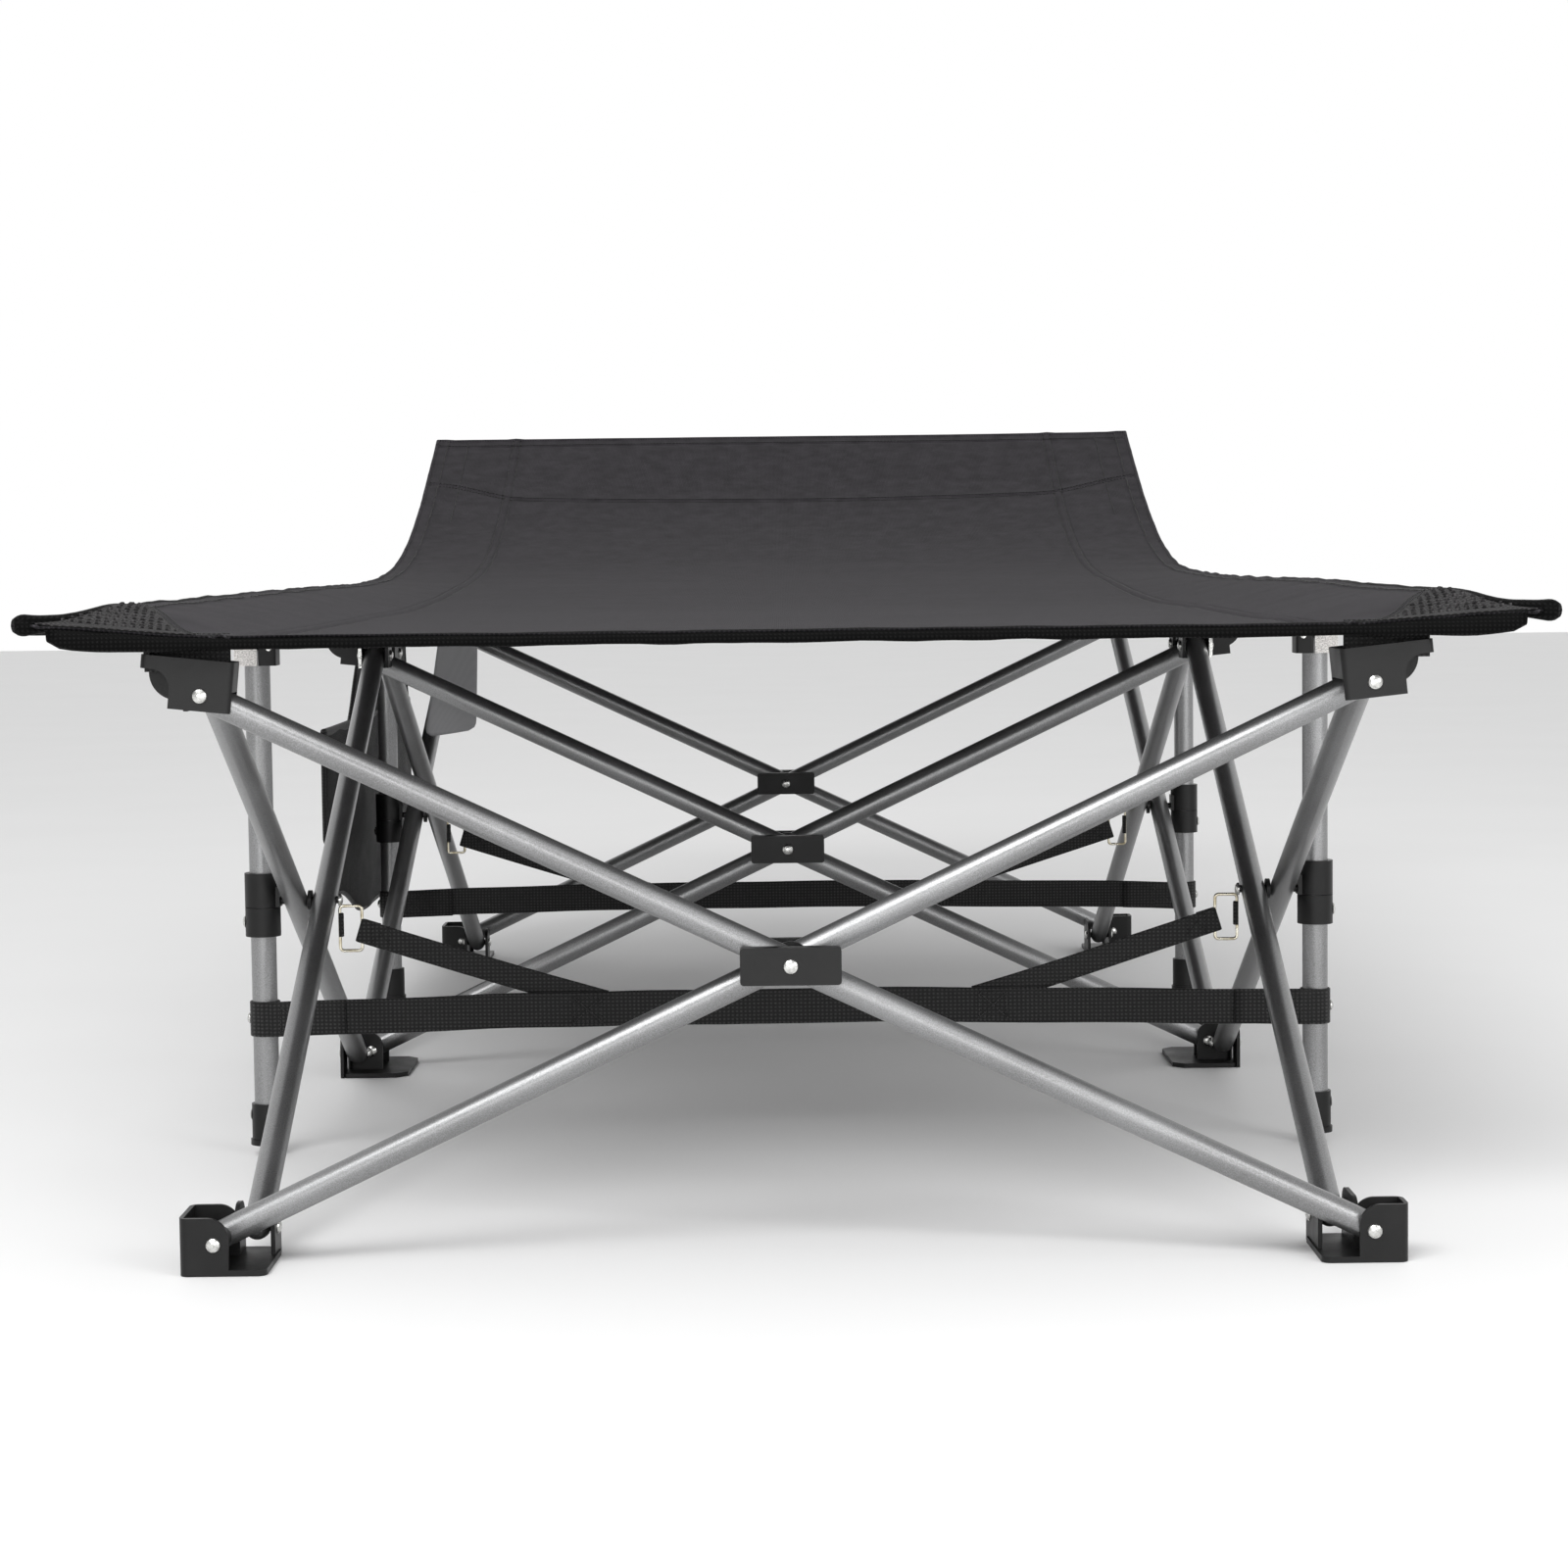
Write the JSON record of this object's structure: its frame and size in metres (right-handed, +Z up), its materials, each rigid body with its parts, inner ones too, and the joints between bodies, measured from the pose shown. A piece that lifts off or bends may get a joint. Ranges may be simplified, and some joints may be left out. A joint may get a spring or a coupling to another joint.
{
  "type": "folding cot",
  "caption": "Folding camp cot: crossed tubes, feet and brackets fold together, posts slide in collars, woven bed with raised head, straps and a side pocket.",
  "frame": {"origin": "centre of the bounding box's base, on the floor", "axes": "+X to the right seen from the foot end, +Y from foot end to head end, +Z up"},
  "size_m": [1.01, 2.128, 0.622],
  "materials": {
    "frame_steel": "grey hammer-fleck powder coat, satin",
    "post_steel": "grey powder coat, with a bare metal saddle",
    "moulded_plastic": "moulded black nylon, satin",
    "bed_fabric": "charcoal woven polyester",
    "webbing": "black webbing",
    "wire": "nickel-brass wire",
    "pocket_mesh": "black mesh",
    "tag": "grey satin tape"
  },
  "bodies": {
    "foot_ml": {"foot_ml": "moulded_plastic"},
    "cross_a_2": {"cross_a_2": "frame_steel"},
    "hub_2": {"hub_2": "moulded_plastic"},
    "cross_b_2": {"cross_b_2": "frame_steel"},
    "top_mr": {"top_mr": "moulded_plastic"},
    "top_ml": {"top_ml": "moulded_plastic", "pocket": "pocket_mesh"},
    "foot_mr": {"foot_mr": "moulded_plastic"},
    "side_out_fl": {"side_out_fl": "frame_steel"},
    "top_fl": {"top_fl": "moulded_plastic"},
    "side_in_fl": {"side_in_fl": "frame_steel"},
    "foot_fl": {"foot_fl": "moulded_plastic"},
    "collar_fl": {"collar_fl": "moulded_plastic", "ring_fl": "wire", "branch_fl": "webbing"},
    "post_fl": {"post_fl": "post_steel", "fittings_fl": "moulded_plastic", "strap_1": "webbing"},
    "side_out_rl": {"side_out_rl": "frame_steel"},
    "top_rl": {"top_rl": "moulded_plastic"},
    "side_in_rl": {"side_in_rl": "frame_steel"},
    "foot_rl": {"foot_rl": "moulded_plastic"},
    "collar_rl": {"collar_rl": "moulded_plastic", "ring_rl": "wire", "branch_rl": "webbing"},
    "post_rl": {"post_rl": "post_steel", "fittings_rl": "moulded_plastic", "strap_2": "webbing"},
    "side_out_fr": {"side_out_fr": "frame_steel"},
    "top_fr": {"top_fr": "moulded_plastic"},
    "side_in_fr": {"side_in_fr": "frame_steel"},
    "foot_fr": {"foot_fr": "moulded_plastic"},
    "collar_fr": {"collar_fr": "moulded_plastic", "ring_fr": "wire", "branch_fr": "webbing"},
    "post_fr": {"post_fr": "post_steel", "fittings_fr": "moulded_plastic"},
    "side_out_rr": {"side_out_rr": "frame_steel"},
    "top_rr": {"top_rr": "moulded_plastic"},
    "side_in_rr": {"side_in_rr": "frame_steel"},
    "foot_rr": {"foot_rr": "moulded_plastic"},
    "collar_rr": {"collar_rr": "moulded_plastic", "ring_rr": "wire", "branch_rr": "webbing"},
    "post_rr": {"post_rr": "post_steel", "fittings_rr": "moulded_plastic"},
    "cross_a_1": {"cross_a_1": "frame_steel"},
    "hub_1": {"hub_1": "moulded_plastic"},
    "cross_b_1": {"cross_b_1": "frame_steel"},
    "cross_a_3": {"cross_a_3": "frame_steel"},
    "hub_3": {"hub_3": "moulded_plastic"},
    "cross_b_3": {"cross_b_3": "frame_steel"},
    "head_arm_l": {"head_arm_l": "frame_steel", "bed_head": "bed_fabric"},
    "head_arm_r": {"head_arm_r": "frame_steel"},
    "bed_1": {"bed_1": "bed_fabric"},
    "bed_2": {"bed_2": "bed_fabric"},
    "bed_3": {"bed_3": "bed_fabric"},
    "bed_4": {"bed_4": "bed_fabric", "care_tag": "tag"}
  },
  "joints": [
    {"name": "fold", "type": "hinge", "parent": "foot_ml", "child": "cross_a_2", "pos_m": [-0.386, -0.1667, 0.021], "axis": [0, -1, 0], "range_deg": [0, 57.5], "deforming": ["bed_1", "bed_2", "bed_3", "bed_4", "bed_head", "strap_1", "strap_2", "branch_fl", "branch_fr", "branch_rl", "branch_rr", "care_tag", "pocket"]},
    {"name": "hub_2_turn", "type": "hinge", "parent": "cross_a_2", "child": "hub_2", "pos_m": [0, -0.178, 0.2035], "axis": [0, 1, 0], "range_deg": [0, 57.5]},
    {"name": "cross_b_2_turn", "type": "hinge", "parent": "cross_a_2", "child": "cross_b_2", "pos_m": [0, -0.178, 0.2035], "axis": [0, 1, 0], "range_deg": [0, 115]},
    {"name": "top_mr_turn", "type": "hinge", "parent": "cross_a_2", "child": "top_mr", "pos_m": [0.386, -0.1667, 0.386], "axis": [0, 1, 0], "range_deg": [0, 57.5]},
    {"name": "top_ml_turn", "type": "hinge", "parent": "cross_b_2", "child": "top_ml", "pos_m": [-0.386, -0.1893, 0.386], "axis": [0, -1, 0], "range_deg": [0, 57.5]},
    {"name": "foot_mr_turn", "type": "hinge", "parent": "cross_b_2", "child": "foot_mr", "pos_m": [0.386, -0.1893, 0.021], "axis": [0, -1, 0], "range_deg": [0, 57.5]},
    {"name": "side_out_fl_turn", "type": "hinge", "parent": "foot_ml", "child": "side_out_fl", "pos_m": [-0.398, -0.214, 0.021], "axis": [-1, 0, 0], "range_deg": [0, 57.5]},
    {"name": "top_fl_turn", "type": "hinge", "parent": "side_out_fl", "child": "top_fl", "pos_m": [-0.388, -0.986, 0.386], "axis": [1, 0, 0], "range_deg": [0, 57.5]},
    {"name": "side_in_fl_turn", "type": "hinge", "parent": "top_ml", "child": "side_in_fl", "pos_m": [-0.374, -0.214, 0.386], "axis": [1, 0, 0], "range_deg": [0, 57.5]},
    {"name": "foot_fl_turn", "type": "hinge", "parent": "side_in_fl", "child": "foot_fl", "pos_m": [-0.366, -0.986, 0.021], "axis": [-1, 0, 0], "range_deg": [0, 57.5]},
    {"name": "collar_fl_turn", "type": "hinge", "parent": "side_out_fl", "child": "collar_fl", "pos_m": [-0.393, -0.6, 0.2035], "axis": [1, 0, 0], "range_deg": [0, 57.5]},
    {"name": "post_fl_slide", "type": "slide", "parent": "collar_fl", "child": "post_fl", "axis": [0, 0, -1], "range_m": [0, 0.1401]},
    {"name": "side_out_rl_turn", "type": "hinge", "parent": "foot_ml", "child": "side_out_rl", "pos_m": [-0.398, -0.142, 0.021], "axis": [1, 0, 0], "range_deg": [0, 57.5]},
    {"name": "top_rl_turn", "type": "hinge", "parent": "side_out_rl", "child": "top_rl", "pos_m": [-0.388, 0.63, 0.386], "axis": [-1, 0, 0], "range_deg": [0, 57.5]},
    {"name": "side_in_rl_turn", "type": "hinge", "parent": "top_ml", "child": "side_in_rl", "pos_m": [-0.374, -0.142, 0.386], "axis": [-1, 0, 0], "range_deg": [0, 57.5]},
    {"name": "foot_rl_turn", "type": "hinge", "parent": "side_in_rl", "child": "foot_rl", "pos_m": [-0.366, 0.63, 0.021], "axis": [1, 0, 0], "range_deg": [0, 57.5]},
    {"name": "collar_rl_turn", "type": "hinge", "parent": "side_out_rl", "child": "collar_rl", "pos_m": [-0.393, 0.244, 0.2035], "axis": [-1, 0, 0], "range_deg": [0, 57.5]},
    {"name": "post_rl_slide", "type": "slide", "parent": "collar_rl", "child": "post_rl", "axis": [0, 0, -1], "range_m": [0, 0.1401]},
    {"name": "side_out_fr_turn", "type": "hinge", "parent": "foot_mr", "child": "side_out_fr", "pos_m": [0.398, -0.214, 0.021], "axis": [-1, 0, 0], "range_deg": [0, 57.5]},
    {"name": "top_fr_turn", "type": "hinge", "parent": "side_out_fr", "child": "top_fr", "pos_m": [0.388, -0.986, 0.386], "axis": [1, 0, 0], "range_deg": [0, 57.5]},
    {"name": "side_in_fr_turn", "type": "hinge", "parent": "top_mr", "child": "side_in_fr", "pos_m": [0.374, -0.214, 0.386], "axis": [1, 0, 0], "range_deg": [0, 57.5]},
    {"name": "foot_fr_turn", "type": "hinge", "parent": "side_in_fr", "child": "foot_fr", "pos_m": [0.366, -0.986, 0.021], "axis": [-1, 0, 0], "range_deg": [0, 57.5]},
    {"name": "collar_fr_turn", "type": "hinge", "parent": "side_out_fr", "child": "collar_fr", "pos_m": [0.393, -0.6, 0.2035], "axis": [1, 0, 0], "range_deg": [0, 57.5]},
    {"name": "post_fr_slide", "type": "slide", "parent": "collar_fr", "child": "post_fr", "axis": [0, 0, -1], "range_m": [0, 0.1401]},
    {"name": "side_out_rr_turn", "type": "hinge", "parent": "foot_mr", "child": "side_out_rr", "pos_m": [0.398, -0.142, 0.021], "axis": [1, 0, 0], "range_deg": [0, 57.5]},
    {"name": "top_rr_turn", "type": "hinge", "parent": "side_out_rr", "child": "top_rr", "pos_m": [0.388, 0.63, 0.386], "axis": [-1, 0, 0], "range_deg": [0, 57.5]},
    {"name": "side_in_rr_turn", "type": "hinge", "parent": "top_mr", "child": "side_in_rr", "pos_m": [0.374, -0.142, 0.386], "axis": [-1, 0, 0], "range_deg": [0, 57.5]},
    {"name": "foot_rr_turn", "type": "hinge", "parent": "side_in_rr", "child": "foot_rr", "pos_m": [0.366, 0.63, 0.021], "axis": [1, 0, 0], "range_deg": [0, 57.5]},
    {"name": "collar_rr_turn", "type": "hinge", "parent": "side_out_rr", "child": "collar_rr", "pos_m": [0.393, 0.244, 0.2035], "axis": [-1, 0, 0], "range_deg": [0, 57.5]},
    {"name": "post_rr_slide", "type": "slide", "parent": "collar_rr", "child": "post_rr", "axis": [0, 0, -1], "range_m": [0, 0.1401]},
    {"name": "cross_a_1_turn", "type": "hinge", "parent": "foot_fl", "child": "cross_a_1", "pos_m": [-0.386, -1.0107, 0.021], "axis": [0, -1, 0], "range_deg": [0, 57.5]},
    {"name": "hub_1_turn", "type": "hinge", "parent": "cross_a_1", "child": "hub_1", "pos_m": [0, -1.022, 0.2035], "axis": [0, 1, 0], "range_deg": [0, 57.5]},
    {"name": "cross_b_1_turn", "type": "hinge", "parent": "top_fl", "child": "cross_b_1", "pos_m": [-0.386, -1.0333, 0.386], "axis": [0, 1, 0], "range_deg": [0, 57.5]},
    {"name": "cross_a_3_turn", "type": "hinge", "parent": "foot_rl", "child": "cross_a_3", "pos_m": [-0.386, 0.6547, 0.021], "axis": [0, -1, 0], "range_deg": [0, 57.5]},
    {"name": "hub_3_turn", "type": "hinge", "parent": "cross_a_3", "child": "hub_3", "pos_m": [0, 0.666, 0.2035], "axis": [0, 1, 0], "range_deg": [0, 57.5]},
    {"name": "cross_b_3_turn", "type": "hinge", "parent": "top_rl", "child": "cross_b_3", "pos_m": [-0.386, 0.6773, 0.386], "axis": [0, 1, 0], "range_deg": [0, 57.5]},
    {"name": "head_arm_l_turn", "type": "hinge", "parent": "top_rl", "child": "head_arm_l", "pos_m": [-0.414, 0.702, 0.408], "axis": [-1, 0, 0], "range_deg": [0, 107.53]},
    {"name": "head_arm_r_turn", "type": "hinge", "parent": "top_rr", "child": "head_arm_r", "pos_m": [0.414, 0.702, 0.408], "axis": [-1, 0, 0], "range_deg": [0, 107.53]},
    {"name": "bed_1_turn", "type": "hinge", "parent": "top_fl", "child": "bed_1", "pos_m": [-0.388, -0.986, 0.386], "axis": [-1, 0, 0], "range_deg": [0, 81.08]},
    {"name": "bed_2_turn", "type": "hinge", "parent": "top_ml", "child": "bed_2", "pos_m": [-0.374, -0.214, 0.386], "axis": [1, 0, 0], "range_deg": [0, 81.08]},
    {"name": "bed_3_turn", "type": "hinge", "parent": "top_ml", "child": "bed_3", "pos_m": [-0.374, -0.142, 0.386], "axis": [-1, 0, 0], "range_deg": [0, 81.08]},
    {"name": "bed_4_turn", "type": "hinge", "parent": "top_rl", "child": "bed_4", "pos_m": [-0.388, 0.63, 0.386], "axis": [1, 0, 0], "range_deg": [0, 81.08]}
  ],
  "couplings": [
    {"joint": "hub_2_turn", "follows": "fold", "ratio": 1},
    {"joint": "cross_b_2_turn", "follows": "fold", "ratio": 2},
    {"joint": "top_mr_turn", "follows": "fold", "ratio": 1},
    {"joint": "top_ml_turn", "follows": "fold", "ratio": 1},
    {"joint": "foot_mr_turn", "follows": "fold", "ratio": 1},
    {"joint": "side_out_fl_turn", "follows": "fold", "ratio": 1},
    {"joint": "top_fl_turn", "follows": "fold", "ratio": 1},
    {"joint": "side_in_fl_turn", "follows": "fold", "ratio": 1},
    {"joint": "foot_fl_turn", "follows": "fold", "ratio": 1},
    {"joint": "collar_fl_turn", "follows": "fold", "ratio": 1},
    {"joint": "post_fl_slide", "follows": "fold", "m_per_rad": 0.1395},
    {"joint": "side_out_rl_turn", "follows": "fold", "ratio": 1},
    {"joint": "top_rl_turn", "follows": "fold", "ratio": 1},
    {"joint": "side_in_rl_turn", "follows": "fold", "ratio": 1},
    {"joint": "foot_rl_turn", "follows": "fold", "ratio": 1},
    {"joint": "collar_rl_turn", "follows": "fold", "ratio": 1},
    {"joint": "post_rl_slide", "follows": "fold", "m_per_rad": 0.1395},
    {"joint": "side_out_fr_turn", "follows": "fold", "ratio": 1},
    {"joint": "top_fr_turn", "follows": "fold", "ratio": 1},
    {"joint": "side_in_fr_turn", "follows": "fold", "ratio": 1},
    {"joint": "foot_fr_turn", "follows": "fold", "ratio": 1},
    {"joint": "collar_fr_turn", "follows": "fold", "ratio": 1},
    {"joint": "post_fr_slide", "follows": "fold", "m_per_rad": 0.1395},
    {"joint": "side_out_rr_turn", "follows": "fold", "ratio": 1},
    {"joint": "top_rr_turn", "follows": "fold", "ratio": 1},
    {"joint": "side_in_rr_turn", "follows": "fold", "ratio": 1},
    {"joint": "foot_rr_turn", "follows": "fold", "ratio": 1},
    {"joint": "collar_rr_turn", "follows": "fold", "ratio": 1},
    {"joint": "post_rr_slide", "follows": "fold", "m_per_rad": 0.1395},
    {"joint": "cross_a_1_turn", "follows": "fold", "ratio": 1},
    {"joint": "hub_1_turn", "follows": "fold", "ratio": 1},
    {"joint": "cross_b_1_turn", "follows": "fold", "ratio": 1},
    {"joint": "cross_a_3_turn", "follows": "fold", "ratio": 1},
    {"joint": "hub_3_turn", "follows": "fold", "ratio": 1},
    {"joint": "cross_b_3_turn", "follows": "fold", "ratio": 1},
    {"joint": "head_arm_l_turn", "follows": "fold", "ratio": 1.87},
    {"joint": "head_arm_r_turn", "follows": "fold", "ratio": 1.87},
    {"joint": "bed_1_turn", "follows": "fold", "ratio": 1.41},
    {"joint": "bed_2_turn", "follows": "fold", "ratio": 1.41},
    {"joint": "bed_3_turn", "follows": "fold", "ratio": 1.41},
    {"joint": "bed_4_turn", "follows": "fold", "ratio": 1.41}
  ]
}
